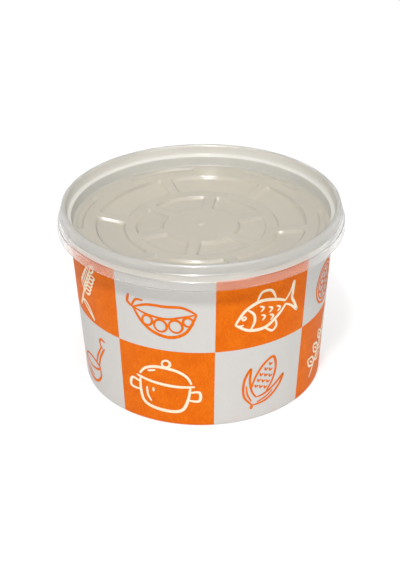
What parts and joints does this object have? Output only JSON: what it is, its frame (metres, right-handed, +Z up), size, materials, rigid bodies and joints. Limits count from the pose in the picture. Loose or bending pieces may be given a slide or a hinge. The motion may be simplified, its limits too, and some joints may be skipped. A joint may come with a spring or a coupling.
{
  "type": "takeaway soup container",
  "caption": "Tapered paperboard soup cup with rolled rim, hemmed foot and recessed base, closed by a moulded translucent snap lid with a pressed panel.",
  "frame": {"origin": "centre of the foot ring, on the surface that the cup stands on", "axes": "+Z up along the cup's axis; the side seam of the wall is at the back, near +Y"},
  "size_m": [0.119, 0.119, 0.0776],
  "materials": {
    "printed_paper": "coated paperboard with an orange and white checker print",
    "plain_paper": "plain white coated paperboard",
    "lid_plastic": "milky translucent moulded polypropylene"
  },
  "bodies": {
    "root": {"cup_wall": "printed_paper", "cup_base": "plain_paper", "lid": "lid_plastic"}
  },
  "joints": []
}
